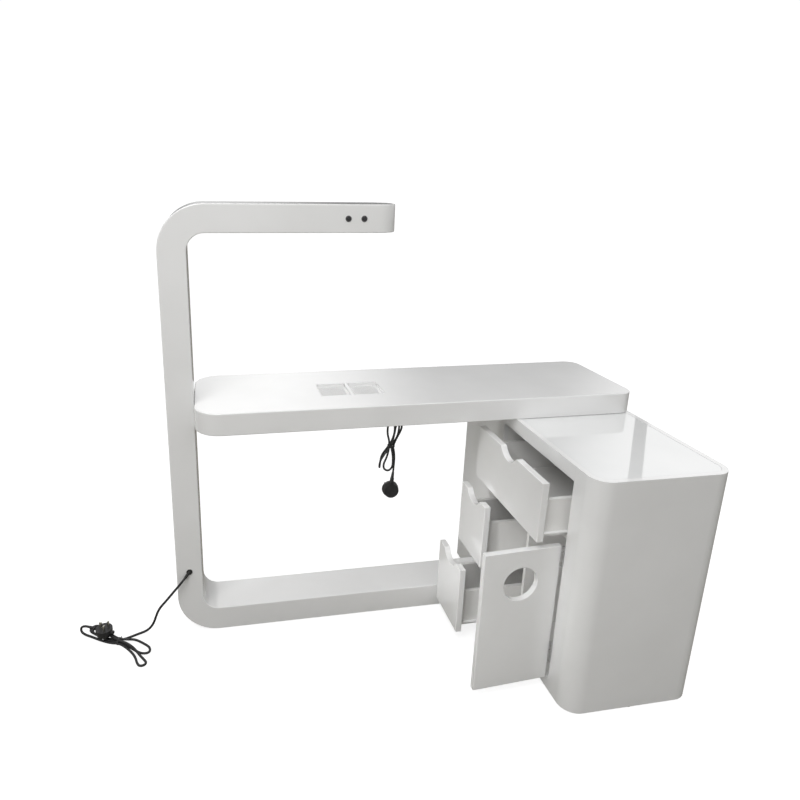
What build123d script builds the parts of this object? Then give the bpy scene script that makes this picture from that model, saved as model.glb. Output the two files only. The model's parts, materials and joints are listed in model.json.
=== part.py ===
"""Manicure table: a C-shaped lamp frame, a long tabletop with a dust extractor, and a drawer cabinet.

Millimetres, +Z up. X runs along the tabletop, from the column to the cabinet. -Y is the front.
The origin is on the floor, below the middle of the table.
The drawers stand partly pulled out and the cabinet door stands open at a right angle.
"""

import os
from math import pi, radians, tan

from build123d import *

os.makedirs("parts", exist_ok=True)

# ---------------------------------------------------------------------------
# Driving dimensions
# ---------------------------------------------------------------------------
LENGTH = 1405
DEPTH = 792.5
TABLE_HEIGHT = 750
LAMP_HEIGHT = 1302
GLIDE_HEIGHT = 2

LEFT, RIGHT = -LENGTH / 2, LENGTH / 2
FRONT, BACK = -DEPTH / 2, DEPTH / 2

# C-shaped frame
BEAM_FACE = 76
BEAM_DEPTH = 140
BEAM_WALL = 9
BEND_OUTER = 125
ARM_REACH = 652
ARM_END_ROUND = 54
EDGE_ROUND = 3

# Tabletop
TOP_DEPTH = 363
TOP_THICK = 65
TOP_ROUND_LEFT, TOP_ROUND_RIGHT = 74, 44
SKIN = 18
BOTTOM_SKIN = 12
TOP_FRONT = BACK - TOP_DEPTH
TOP_LEFT = LEFT + BEAM_FACE
TOP_BOTTOM = TABLE_HEIGHT - TOP_THICK
TOP_MIDDLE = ((TOP_LEFT + RIGHT) / 2, (TOP_FRONT + BACK) / 2)

BEAM_FRONT = TOP_FRONT + 80
BEAM_BACK = BEAM_FRONT + BEAM_DEPTH
BEAM_MIDDLE = (BEAM_FRONT + BEAM_BACK) / 2
COLUMN_X = LEFT + BEAM_FACE / 2
BEND_X = LEFT + BEND_OUTER
LOWER_BEND_Z = GLIDE_HEIGHT + BEND_OUTER
UPPER_BEND_Z = LAMP_HEIGHT - BEND_OUTER
ARM_END = LEFT + ARM_REACH
ARM_BOTTOM = LAMP_HEIGHT - BEAM_FACE

# Steel bracket that carries the tabletop
STEEL = 6
BRACKET_REACH = 200
BRACKET_WIDTH = 30
BRACKET_Z = TOP_BOTTOM + 18
BRACKET_YS = (BEAM_MIDDLE - 35, BEAM_MIDDLE + 35)

# Lamp
LIGHT_FROM, LIGHT_TO = -540, -90
LIGHT_WIDTH = 26
BUTTON_XS = (-193, -149)
BUTTON_Z = ARM_BOTTOM + BEAM_FACE / 2
BUTTON_RADIUS = 5.9
BEZEL_RADIUS = 8.5
BEZEL_BORE = 6.2
BEZEL_BARREL = 7.3

# Dust extractor in the tabletop
VENT_LEFT, VENT_RIGHT = -258, -63
VENT_FRONT, VENT_BACK = 138, 258
WELL_WIDTH = 90
WELL_DEPTH = 110
VENT_MIDDLE_X = (VENT_LEFT + VENT_RIGHT) / 2
VENT_MIDDLE_Y = (VENT_FRONT + VENT_BACK) / 2
WELL_PITCH = WELL_WIDTH + 12
WELL_XS = (VENT_MIDDLE_X - WELL_PITCH / 2, VENT_MIDDLE_X + WELL_PITCH / 2)
RECESS = 9
GRILLE_THICK = 3
MESH_PITCH = 7.4
MESH_HOLE = 5.6
TRAY_BOTTOM = 734
FAN_SIDE = 80
FAN_BORE = 38
FAN_BOTTOM = TRAY_BOTTOM - 26

# Cabinet
CABINET_LEFT, CABINET_RIGHT = 317, 698
BOARD = 15
CORNER = 50
SHELL_DEPTH = 100
OPENING_FRONT = FRONT + SHELL_DEPTH
OPENING_BACK = 108.25
OPENING_TOP = 644
SILL = 35
SHELF_BOTTOM = 457
CARCASS_TOP = 663
INNER_LEFT, INNER_RIGHT = CABINET_LEFT + BOARD, CABINET_RIGHT - BOARD
INNER_FRONT, INNER_BACK = FRONT + BOARD, BACK - BOARD
DIVIDER_FRONT, DIVIDER_BACK = -77, -65
GLASS_THICK = 5

# Drawers
FRONT_THICK = 18
SIDE = 12
SIDE_GAP = 12.5
BOX_LENGTH = 330
RUNNER_LENGTH = 300
GAUGE = 1.2
ROLLER = 8
GLIDE_PAD = 26
NOTCH_DEPTH = 27

# Door
DOOR_THICK = 16
DOOR_WIDTH = 220.25
DOOR_BOTTOM, DOOR_TOP = 37, 455
DOOR_HOLE = 49
HOLE_HEIGHT = 355
KNUCKLE = 4
PIN = 2
HINGE_HEIGHT = 60
HINGE_X = CABINET_LEFT - KNUCKLE
HINGE_Y = OPENING_FRONT + 1.5
HINGE_ZS = (95, 395)
PAST_SQUARE = 3.5

# Cords
LAMP_CORD = 7.2
FAN_CORD = 6
PLUG_RADIUS = 25
PLUG_FRONT, PLUG_BACK = 14, 8
PLUG_TAPER = 12
PLUG_NECK = 6
PLUG_PIN = 18


# ---------------------------------------------------------------------------
# Helpers
# ---------------------------------------------------------------------------
def save(piece, name, turn=0, about=Axis.Z):
    """Label a finished piece, turned by some degrees about an axis, and write it as its own file."""
    part = piece.part.rotate(about, turn) if turn else piece.part
    part.label = name
    export_step(part, f"parts/{name}.step")


def block(x_range, y_range, z_range, mode=Mode.ADD):
    """A box between the ends of three ranges, in the part being built."""
    spans = (x_range, y_range, z_range)
    with Locations(tuple((low + high) / 2 for low, high in spans)):
        Box(*(abs(high - low) for low, high in spans), mode=mode)


def save_block(name, x_range, y_range, z_range):
    """A plain board, saved as a piece of its own."""
    with BuildPart() as board:
        block(x_range, y_range, z_range)
    save(board, name)


def facing_front(y):
    """A sketch plane that faces the front, with its first axis along X and its second along Z."""
    return Plane(origin=(0, y, 0), x_dir=(1, 0, 0), z_dir=(0, -1, 0))


def beam_outline():
    """Hollow cross-section of the frame, in the sketch being drawn."""
    RectangleRounded(BEAM_FACE, BEAM_DEPTH, EDGE_ROUND)
    Rectangle(BEAM_FACE - 2 * BEAM_WALL, BEAM_DEPTH - 2 * BEAM_WALL, mode=Mode.SUBTRACT)


def bracket_slots():
    """Cut the slots that the bracket's two arms pass through."""
    for y in BRACKET_YS:
        block(
            (TOP_LEFT - BEAM_WALL, TOP_LEFT + SKIN),
            (y - BRACKET_WIDTH / 2 - 1, y + BRACKET_WIDTH / 2 + 1),
            (BRACKET_Z - 1, BRACKET_Z + STEEL + 1),
            mode=Mode.SUBTRACT,
        )


def corner_radii(points):
    """The largest bend that the two runs at each corner of a route allow."""
    runs = [end - start for start, end in zip(points, points[1:])]
    radii = []
    for before, after in zip(runs, runs[1:]):
        half_turn = radians(before.get_angle(after)) / 2
        radii.append(0.45 * min(before.length, after.length) / tan(half_turn))
    return radii


def save_cord(name, route, diameter):
    """A round cord along straight runs joined by arcs."""
    points = [Vector(*point) for point in route]
    radii = corner_radii(points)
    with BuildPart() as cord:
        with BuildLine() as path:
            FilletPolyline(*points, radius=radii)
        with BuildSketch(Plane(origin=path.line @ 0, z_dir=path.line % 0)):
            Circle(diameter / 2)
        sweep(path=path.wire())
    length = path.wire().length
    print(name, "length", round(length, 1), "radii", [round(radius, 1) for radius in radii])
    print("  volume over section times length", round(cord.part.volume / (length * pi * diameter**2 / 4), 4))
    save(cord, name)


def save_strain_relief(name, mouth, length, root_radius, tip_radius):
    """A tapered sleeve with a flange, whose cord leaves along the plane's normal."""
    with BuildPart() as relief:
        with BuildSketch(mouth.offset(-5)):
            Circle(root_radius)
        extrude(amount=5)
        with BuildSketch(mouth):
            Circle(root_radius + 2)
        extrude(amount=2)
        with BuildSketch(mouth.offset(2)):
            Circle(root_radius)
        with BuildSketch(mouth.offset(length)):
            Circle(tip_radius)
        loft()
    save(relief, name)


def save_plug(name, centre, entry_height):
    """A round three-pin plug: its back looks along the plane's normal, the cord enters along its local y."""
    with BuildPart() as plug:
        with BuildSketch(centre):
            Circle(PLUG_RADIUS)
        extrude(amount=PLUG_FRONT, taper=PLUG_TAPER)
        with BuildSketch(centre.offset(-PLUG_BACK)):
            Circle(PLUG_RADIUS)
        extrude(amount=PLUG_BACK)
        entry = Plane(origin=centre.from_local_coords((0, 0, 1)), x_dir=centre.x_dir, z_dir=centre.y_dir)
        with BuildSketch(entry):
            Circle(PLUG_NECK)
        extrude(amount=entry_height)
        with BuildSketch(centre.offset(-PLUG_BACK)):
            with Locations((0, -11)):
                Rectangle(4, 8)
            with Locations((-11, 8), (11, 8)):
                Rectangle(6.3, 4)
        extrude(amount=-PLUG_PIN)
    save(plug, name)


# ---------------------------------------------------------------------------
# C-shaped frame: floor beam, column and lamp arm, joined by two bends
# ---------------------------------------------------------------------------
with BuildPart() as floor_beam:
    with BuildSketch(Plane.YZ.offset(BEND_X)):
        with Locations((BEAM_MIDDLE, GLIDE_HEIGHT + BEAM_FACE / 2)):
            RectangleRounded(BEAM_DEPTH, BEAM_FACE, EDGE_ROUND)
            Rectangle(BEAM_DEPTH - 2 * BEAM_WALL, BEAM_FACE - 2 * BEAM_WALL, mode=Mode.SUBTRACT)
    extrude(amount=CABINET_LEFT - BEND_X)
save(floor_beam, "floor_beam")

CORD_HOLE = (COLUMN_X, 216)
with BuildPart() as column:
    with BuildSketch(Plane.XY.offset(LOWER_BEND_Z)):
        with Locations((COLUMN_X, BEAM_MIDDLE)):
            beam_outline()
    extrude(amount=UPPER_BEND_Z - LOWER_BEND_Z)
    with BuildSketch(facing_front(BEAM_FRONT)):
        with Locations(CORD_HOLE):
            Circle(5.5)
    extrude(amount=-BEAM_WALL, mode=Mode.SUBTRACT)
    bracket_slots()
save(column, "column")

for name, bend_z, turn in (("lower_bend", LOWER_BEND_Z, -1), ("upper_bend", UPPER_BEND_Z, 1)):
    with BuildPart() as bend:
        with BuildSketch(Plane.XY.offset(bend_z)):
            with Locations((COLUMN_X, BEAM_MIDDLE)):
                beam_outline()
        revolve(axis=Axis((BEND_X, 0, bend_z), (0, turn, 0)), revolution_arc=90)
    save(bend, name)

with BuildPart() as lamp_arm:
    with BuildSketch(Plane.XY.offset(ARM_BOTTOM)) as outline:
        with Locations(((BEND_X + ARM_END) / 2, BEAM_MIDDLE)):
            Rectangle(ARM_END - BEND_X, BEAM_DEPTH)
        fillet(outline.vertices().group_by(Axis.X)[-1], ARM_END_ROUND)
    extrude(amount=BEAM_FACE)
    rims = lamp_arm.edges().filter_by(Plane.XY)
    fillet([edge for edge in rims if edge.center().X > BEND_X + 1], EDGE_ROUND)
    with BuildSketch(Plane.XY.offset(ARM_BOTTOM + BEAM_WALL)) as hollow:
        with Locations(((BEND_X + ARM_END - BEAM_WALL) / 2, BEAM_MIDDLE)):
            Rectangle(ARM_END - BEAM_WALL - BEND_X, BEAM_DEPTH - 2 * BEAM_WALL)
        fillet(hollow.vertices().group_by(Axis.X)[-1], ARM_END_ROUND - BEAM_WALL)
    extrude(amount=BEAM_FACE - 2 * BEAM_WALL, mode=Mode.SUBTRACT)
    block(
        (LIGHT_FROM, LIGHT_TO),
        (BEAM_MIDDLE - LIGHT_WIDTH / 2, BEAM_MIDDLE + LIGHT_WIDTH / 2),
        (ARM_BOTTOM, ARM_BOTTOM + BEAM_WALL),
        mode=Mode.SUBTRACT,
    )
    with BuildSketch(facing_front(BEAM_FRONT)):
        with Locations(*((x, BUTTON_Z) for x in BUTTON_XS)):
            Circle(BEZEL_BARREL)
    extrude(amount=-BEAM_WALL, mode=Mode.SUBTRACT)
save(lamp_arm, "lamp_arm")

# A steel plate inside the column carries two flat arms that run into the hollow tabletop.
with BuildPart() as tabletop_bracket:
    block(
        (TOP_LEFT - BEAM_WALL - STEEL, TOP_LEFT - BEAM_WALL),
        (BEAM_FRONT + 20, BEAM_BACK - 20),
        (TOP_BOTTOM - 120, TABLE_HEIGHT + 60),
    )
    for y in BRACKET_YS:
        block(
            (TOP_LEFT - BEAM_WALL, TOP_LEFT + BRACKET_REACH),
            (y - BRACKET_WIDTH / 2, y + BRACKET_WIDTH / 2),
            (BRACKET_Z, BRACKET_Z + STEEL),
        )
save(tabletop_bracket, "tabletop_bracket")

# ---------------------------------------------------------------------------
# Lamp: light channel, LED strip, diffuser, driver and two push-buttons
# ---------------------------------------------------------------------------
LIGHT_CLEAR = 0.3
channel_x = (LIGHT_FROM + LIGHT_CLEAR, LIGHT_TO - LIGHT_CLEAR)
channel_y = (BEAM_MIDDLE - LIGHT_WIDTH / 2 + LIGHT_CLEAR, BEAM_MIDDLE + LIGHT_WIDTH / 2 - LIGHT_CLEAR)
CHANNEL_WALL = 1.5
CHANNEL_TOP = ARM_BOTTOM + 14
with BuildPart() as light_channel:
    block(channel_x, channel_y, (ARM_BOTTOM + 1, CHANNEL_TOP))
    block(
        (channel_x[0] + CHANNEL_WALL, channel_x[1] - CHANNEL_WALL),
        (channel_y[0] + CHANNEL_WALL, channel_y[1] - CHANNEL_WALL),
        (ARM_BOTTOM + 1, CHANNEL_TOP - CHANNEL_WALL),
        mode=Mode.SUBTRACT,
    )
save(light_channel, "light_channel")

strip_x = (channel_x[0] + 5, channel_x[1] - 5)
LED_PITCH = 16
led_count = int((strip_x[1] - strip_x[0]) / LED_PITCH)
with BuildPart() as led_strip:
    board_bottom = CHANNEL_TOP - CHANNEL_WALL - 1.6
    block(strip_x, (BEAM_MIDDLE - 6, BEAM_MIDDLE + 6), (board_bottom, board_bottom + 1.6))
    with Locations(((strip_x[0] + strip_x[1]) / 2, BEAM_MIDDLE, board_bottom - 0.8)):
        with GridLocations(LED_PITCH, 1, led_count, 1):
            Box(5, 5, 1.6)
save(led_strip, "led_strip")

save_block(
    "light_diffuser",
    (channel_x[0] + CHANNEL_WALL + LIGHT_CLEAR, channel_x[1] - CHANNEL_WALL - LIGHT_CLEAR),
    (channel_y[0] + CHANNEL_WALL + LIGHT_CLEAR, channel_y[1] - CHANNEL_WALL - LIGHT_CLEAR),
    (ARM_BOTTOM + 1, ARM_BOTTOM + 3),
)

with BuildPart() as lamp_driver:
    block((COLUMN_X - 16, COLUMN_X + 16), (BEAM_BACK - BEAM_WALL - 40, BEAM_BACK - BEAM_WALL), (240, 400))
    fillet(lamp_driver.edges().filter_by(Axis.Z), 3)
save(lamp_driver, "lamp_driver")

with BuildPart() as switch_bezels:
    with BuildSketch(facing_front(BEAM_FRONT)):
        with Locations(*((x, BUTTON_Z) for x in BUTTON_XS)):
            Circle(BEZEL_RADIUS)
    extrude(amount=1.5)
    with BuildSketch(facing_front(BEAM_FRONT)):
        with Locations(*((x, BUTTON_Z) for x in BUTTON_XS)):
            Circle(BEZEL_BARREL)
    extrude(amount=-16)
    with BuildSketch(facing_front(BEAM_FRONT - 1.5)):
        with Locations(*((x, BUTTON_Z) for x in BUTTON_XS)):
            Circle(BEZEL_BORE)
    extrude(amount=-14, mode=Mode.SUBTRACT)
    for bezel_face in switch_bezels.faces().sort_by(Axis.Y)[:2]:
        fillet(bezel_face.edges(), 0.5)
save(switch_bezels, "switch_bezels")

for name, x in zip(("light_button", "dimmer_button"), BUTTON_XS):
    with BuildPart() as button:
        with BuildSketch(facing_front(BEAM_FRONT - 4)):
            with Locations((x, BUTTON_Z)):
                Circle(BUTTON_RADIUS)
        extrude(amount=-9)
        fillet(button.edges().group_by(Axis.Y)[0], 1.2)
    save(button, name)

# ---------------------------------------------------------------------------
# Tabletop: a hollow torsion box with the extractor let into it
# ---------------------------------------------------------------------------
def top_plan(inset):
    """The tabletop's outline moved in by an inset. Its left corners are rounder than its right ones."""
    with BuildSketch() as plan:
        with Locations(TOP_MIDDLE):
            Rectangle(RIGHT - TOP_LEFT - 2 * inset, TOP_DEPTH - 2 * inset)
        fillet(plan.vertices().group_by(Axis.X)[0], TOP_ROUND_LEFT - inset)
        fillet(plan.vertices().group_by(Axis.X)[-1], TOP_ROUND_RIGHT - inset)
    return plan.sketch


top_outline = top_plan(0)
top_inside = top_plan(SKIN)
panel_bottom = TABLE_HEIGHT - SKIN
underside_top = TOP_BOTTOM + BOTTOM_SKIN

with BuildPart() as tabletop_panel:
    with BuildSketch(Plane.XY.offset(panel_bottom)):
        add(top_outline)
    extrude(amount=SKIN)
    fillet(tabletop_panel.faces().sort_by(Axis.Z)[-1].edges(), EDGE_ROUND)
    block(
        (VENT_LEFT, VENT_RIGHT),
        (VENT_FRONT, VENT_BACK),
        (panel_bottom, TABLE_HEIGHT),
        mode=Mode.SUBTRACT,
    )
save(tabletop_panel, "tabletop_panel")

with BuildPart() as tabletop_edge:
    with BuildSketch(Plane.XY.offset(underside_top)):
        add(top_outline)
        add(top_inside, mode=Mode.SUBTRACT)
    extrude(amount=panel_bottom - underside_top)
    bracket_slots()
save(tabletop_edge, "tabletop_edge")

FAN_GLAND = (-28, 98)
with BuildPart() as tabletop_underside:
    with BuildSketch(Plane.XY.offset(TOP_BOTTOM)):
        add(top_outline)
    extrude(amount=BOTTOM_SKIN)
    fillet(tabletop_underside.faces().sort_by(Axis.Z)[0].edges(), EDGE_ROUND)
    with BuildSketch(Plane.XY.offset(TOP_BOTTOM)):
        for x in WELL_XS:
            with Locations((x, VENT_MIDDLE_Y)):
                with GridLocations(1, 13, 1, 5):
                    SlotOverall(64, 6)
        with Locations(FAN_GLAND):
            Circle(5)
    extrude(amount=BOTTOM_SKIN, mode=Mode.SUBTRACT)
save(tabletop_underside, "tabletop_underside")

RIB = 18
RIB_XS = (-390, -285, 40, 230)
with BuildPart() as tabletop_ribs:
    for x in RIB_XS:
        block(
            (x - RIB / 2, x + RIB / 2),
            (TOP_FRONT + SKIN, BACK - SKIN),
            (underside_top, panel_bottom),
        )
save(tabletop_ribs, "tabletop_ribs")

FIT = 0.3
grille_bottom = TABLE_HEIGHT - RECESS - GRILLE_THICK
with BuildPart() as vent_tray:
    block(
        (VENT_LEFT + FIT, VENT_RIGHT - FIT),
        (VENT_FRONT + FIT, VENT_BACK - FIT),
        (TRAY_BOTTOM, TABLE_HEIGHT),
    )
    for x in WELL_XS:
        well_x = (x - WELL_WIDTH / 2, x + WELL_WIDTH / 2)
        well_y = (VENT_MIDDLE_Y - WELL_DEPTH / 2, VENT_MIDDLE_Y + WELL_DEPTH / 2)
        block(well_x, well_y, (grille_bottom, TABLE_HEIGHT), mode=Mode.SUBTRACT)
        with Locations((x, VENT_MIDDLE_Y, (TRAY_BOTTOM + grille_bottom) / 2)):
            Cylinder(FAN_BORE, grille_bottom - TRAY_BOTTOM, mode=Mode.SUBTRACT)
    block(
        (VENT_MIDDLE_X - 7, VENT_MIDDLE_X + 7),
        (VENT_FRONT, VENT_BACK),
        (TABLE_HEIGHT - RECESS, TABLE_HEIGHT),
        mode=Mode.SUBTRACT,
    )
save(vent_tray, "vent_tray")

with BuildPart() as vent_divider:
    block(
        (VENT_MIDDLE_X - 6, VENT_MIDDLE_X + 6),
        (VENT_FRONT + FIT, VENT_BACK - FIT),
        (TABLE_HEIGHT - RECESS, TABLE_HEIGHT),
    )
    top_sides = vent_divider.faces().sort_by(Axis.Z)[-1].edges().filter_by(Axis.Y)
    fillet(top_sides, 4)
save(vent_divider, "vent_divider")

mesh_columns = int((WELL_WIDTH - 8) / MESH_PITCH)
mesh_rows = int((WELL_DEPTH - 8) / MESH_PITCH)
for name, x in zip(("grille_left", "grille_right"), WELL_XS):
    with BuildPart() as grille:
        with BuildSketch(Plane.XY.offset(grille_bottom)):
            with Locations((x, VENT_MIDDLE_Y)):
                Rectangle(WELL_WIDTH - 2 * FIT, WELL_DEPTH - 2 * FIT)
                with GridLocations(MESH_PITCH, MESH_PITCH, mesh_columns, mesh_rows):
                    RegularPolygon(MESH_HOLE / 2, 4, mode=Mode.SUBTRACT)
                with GridLocations(MESH_PITCH, MESH_PITCH, mesh_columns - 1, mesh_rows - 1):
                    RegularPolygon(MESH_HOLE / 2, 4, mode=Mode.SUBTRACT)
        extrude(amount=GRILLE_THICK)
    save(grille, name)

FAN_HEIGHT = TRAY_BOTTOM - FAN_BOTTOM
HUB = 15
STATOR = 4
BLADES = 7
with BuildPart() as fan_frames:
    for x in WELL_XS:
        middle = (x, VENT_MIDDLE_Y)
        with BuildSketch(Plane.XY.offset(FAN_BOTTOM)):
            with Locations(middle):
                RectangleRounded(FAN_SIDE, FAN_SIDE, 5)
                Circle(FAN_BORE, mode=Mode.SUBTRACT)
        extrude(amount=FAN_HEIGHT)
        with BuildSketch(Plane.XY.offset(FAN_BOTTOM)):
            with Locations(middle):
                Circle(HUB + 1)
                with PolarLocations(HUB + 12.5, 4, start_angle=45):
                    Rectangle(27, 5)
        extrude(amount=STATOR)
        with BuildSketch(Plane.XY.offset(FAN_BOTTOM + STATOR)):
            with Locations(middle):
                Circle(1.5)
        extrude(amount=12)
save(fan_frames, "fan_frames")

BLADE_CLEAR = 1.5
for name, x in zip(("left_fan_rotor", "right_fan_rotor"), WELL_XS):
    hub_bottom = FAN_BOTTOM + STATOR + 0.5
    hub_top = TRAY_BOTTOM - 2
    with BuildPart() as rotor:
        with BuildSketch(Plane.XY.offset(hub_bottom)):
            with Locations((x, VENT_MIDDLE_Y)):
                Circle(HUB)
                with PolarLocations((FAN_BORE - BLADE_CLEAR + HUB - 3) / 2, BLADES):
                    Rectangle(FAN_BORE - BLADE_CLEAR - HUB + 3, 3)
        extrude(amount=hub_top - hub_bottom)
        with BuildSketch(Plane.XY.offset(hub_bottom)):
            with Locations((x, VENT_MIDDLE_Y)):
                Circle(1.56)
        extrude(amount=13, mode=Mode.SUBTRACT)
    save(rotor, name)

# ---------------------------------------------------------------------------
# Cabinet carcass
# ---------------------------------------------------------------------------
# The front is a bent shell: its two rounded corners run on into short straight returns.
with BuildPart() as cabinet_front:
    with BuildSketch(Plane.XY.offset(GLIDE_HEIGHT)):
        for inset, mode in ((0, Mode.ADD), (BOARD, Mode.SUBTRACT)):
            with Locations(((CABINET_LEFT + CABINET_RIGHT) / 2, OPENING_FRONT)):
                RectangleRounded(
                    CABINET_RIGHT - CABINET_LEFT - 2 * inset,
                    2 * (SHELL_DEPTH - inset),
                    CORNER - inset,
                    mode=mode,
                )
    extrude(amount=TOP_BOTTOM - GLIDE_HEIGHT)
    block(
        (CABINET_LEFT, CABINET_RIGHT),
        (OPENING_FRONT, OPENING_FRONT + SHELL_DEPTH),
        (GLIDE_HEIGHT, TOP_BOTTOM),
        mode=Mode.SUBTRACT,
    )
save(cabinet_front, "cabinet_front")

with BuildPart() as cabinet_left:
    block((CABINET_LEFT, INNER_LEFT), (OPENING_FRONT, BACK), (GLIDE_HEIGHT, TOP_BOTTOM))
    block((CABINET_LEFT, INNER_LEFT), (OPENING_FRONT, OPENING_BACK), (SILL, OPENING_TOP), mode=Mode.SUBTRACT)
save(cabinet_left, "cabinet_left")

carcass_z = (GLIDE_HEIGHT, TOP_BOTTOM)
inner_x = (INNER_LEFT, INNER_RIGHT)
save_block("cabinet_right", (INNER_RIGHT, CABINET_RIGHT), (OPENING_FRONT, BACK), carcass_z)
save_block("cabinet_back", inner_x, (INNER_BACK, BACK), carcass_z)


def cabinet_plan(inset, back_edge):
    """Plan outline inside the carcass, rounded at the front, in the sketch being drawn."""
    width = INNER_RIGHT - INNER_LEFT - 2 * inset
    depth = back_edge - INNER_FRONT - inset
    with Locations(((INNER_LEFT + INNER_RIGHT) / 2, INNER_FRONT + inset + depth / 2)):
        Rectangle(width, depth)


for name, bottom, top, back_edge, inset in (
    ("cabinet_base", SILL - 18, SILL, INNER_BACK, 0),
    ("cabinet_top", CARCASS_TOP, TOP_BOTTOM - GLASS_THICK - 0.5, INNER_BACK, 0),
    ("glass_worktop", TOP_BOTTOM - GLASS_THICK - 0.5, TOP_BOTTOM - 0.5, TOP_FRONT + 12, 0.4),
):
    with BuildPart() as board:
        with BuildSketch(Plane.XY.offset(bottom)) as plan:
            cabinet_plan(inset, back_edge)
            fillet(plan.vertices().group_by(Axis.Y)[0], CORNER - BOARD - inset)
        extrude(amount=top - bottom)
    save(board, name)

SET_BACK = INNER_LEFT + 5
with BuildPart() as partitions:
    block(inner_x, (OPENING_FRONT - BOARD, OPENING_FRONT), (SILL, CARCASS_TOP))
    block(inner_x, (OPENING_BACK, OPENING_BACK + BOARD), (SILL, CARCASS_TOP))
    block((SET_BACK, INNER_RIGHT), (DIVIDER_FRONT, DIVIDER_BACK), (SILL, SHELF_BOTTOM))
save(partitions, "partitions")

shelf_top = SHELF_BOTTOM + BOARD
save_block("cabinet_shelf", (SET_BACK, INNER_RIGHT), (OPENING_FRONT, OPENING_BACK), (SHELF_BOTTOM, shelf_top))

GLIDE_RADIUS = 14
with BuildPart() as floor_glides:
    corner_middle = CABINET_LEFT + BOARD / 2, CABINET_RIGHT - BOARD / 2
    spots = [(x, y) for x in corner_middle for y in (OPENING_FRONT + 20, BACK - 20)]
    spots += [((CABINET_LEFT + CABINET_RIGHT) / 2, FRONT + BOARD / 2)]
    for x, y in spots:
        with Locations((x, y, GLIDE_HEIGHT / 2)):
            Cylinder(BOARD / 2, GLIDE_HEIGHT)
    for x in (BEND_X + 30, (BEND_X + CABINET_LEFT) / 2, CABINET_LEFT - 40):
        for y in (BEAM_FRONT + 30, BEAM_BACK - 30):
            with Locations((x, y, GLIDE_HEIGHT / 2)):
                Cylinder(GLIDE_RADIUS, GLIDE_HEIGHT)
save(floor_glides, "floor_glides")

# ---------------------------------------------------------------------------
# Drawers on roller runners, and the rails they run in
# ---------------------------------------------------------------------------
# name: (bay front, bay back, panel front, panel bottom, panel top,
#        notch width, box bottom, box top, pulled out)
DRAWERS = {
    "top": (OPENING_FRONT, OPENING_BACK, OPENING_FRONT + 2, 474, 641, 96, 486, 590, 83),
    "middle": (DIVIDER_BACK, OPENING_BACK, DIVIDER_BACK - 5, 256, 455, 92, 275, 395, 126),
    "bottom": (DIVIDER_BACK, OPENING_BACK, DIVIDER_BACK - 5, 37, 252, 92, 50, 166, 187),
}
FLANGE = 9.5
ROLLER_AXLE = 2
ROLLER_WIDE = 7.5
AXLE_ABOVE_FLOOR = 1.5
RAIL_BELOW, RAIL_ABOVE = 8.4, 16
RAIL_LENGTH = 322
RAIL_MOUTH = 22
ROLLER_SET_BACK = 11
FLANGE_ABOVE = 11
PAD_BELOW = 6.8


def roller_centres(bay, x, z):
    """Centres of a pair of rollers, one beside each side of a drawer bay."""
    inset = GAUGE + 0.6 + ROLLER_WIDE / 2
    return [(x, bay[0] + inset, z), (x, bay[1] - inset, z)]


def save_rollers(name, bay, x, z):
    """A pair of rollers bored for their axles."""
    with BuildPart() as rollers:
        for centre in roller_centres(bay, x, z):
            with Locations(Location(centre, (90, 0, 0))):
                Cylinder(ROLLER, ROLLER_WIDE)
                Cylinder(ROLLER_AXLE + 0.06, ROLLER_WIDE, mode=Mode.SUBTRACT)
    save(rollers, name)


with BuildPart() as cabinet_rails:
    for bay_front, bay_back, *_, box_bottom, _, _ in DRAWERS.values():
        for wall, inward in ((bay_front, 1), (bay_back, -1)):
            low, high = box_bottom - RAIL_BELOW, box_bottom + RAIL_ABOVE
            rail_x = (SET_BACK + 1, SET_BACK + 1 + RAIL_LENGTH)
            block(rail_x, (wall, wall + inward * GAUGE), (low, high))
            block(rail_x, (wall, wall + inward * FLANGE), (low, low + GAUGE))
            block((rail_x[0] + RAIL_MOUTH, rail_x[1]), (wall, wall + inward * FLANGE), (high - GAUGE, high))
            axle = (SET_BACK + ROLLER_SET_BACK, wall + inward * 5, box_bottom + AXLE_ABOVE_FLOOR)
            with Locations(Location(axle, (90, 0, 0))):
                Cylinder(ROLLER_AXLE, 10)
save(cabinet_rails, "cabinet_rails")

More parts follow.
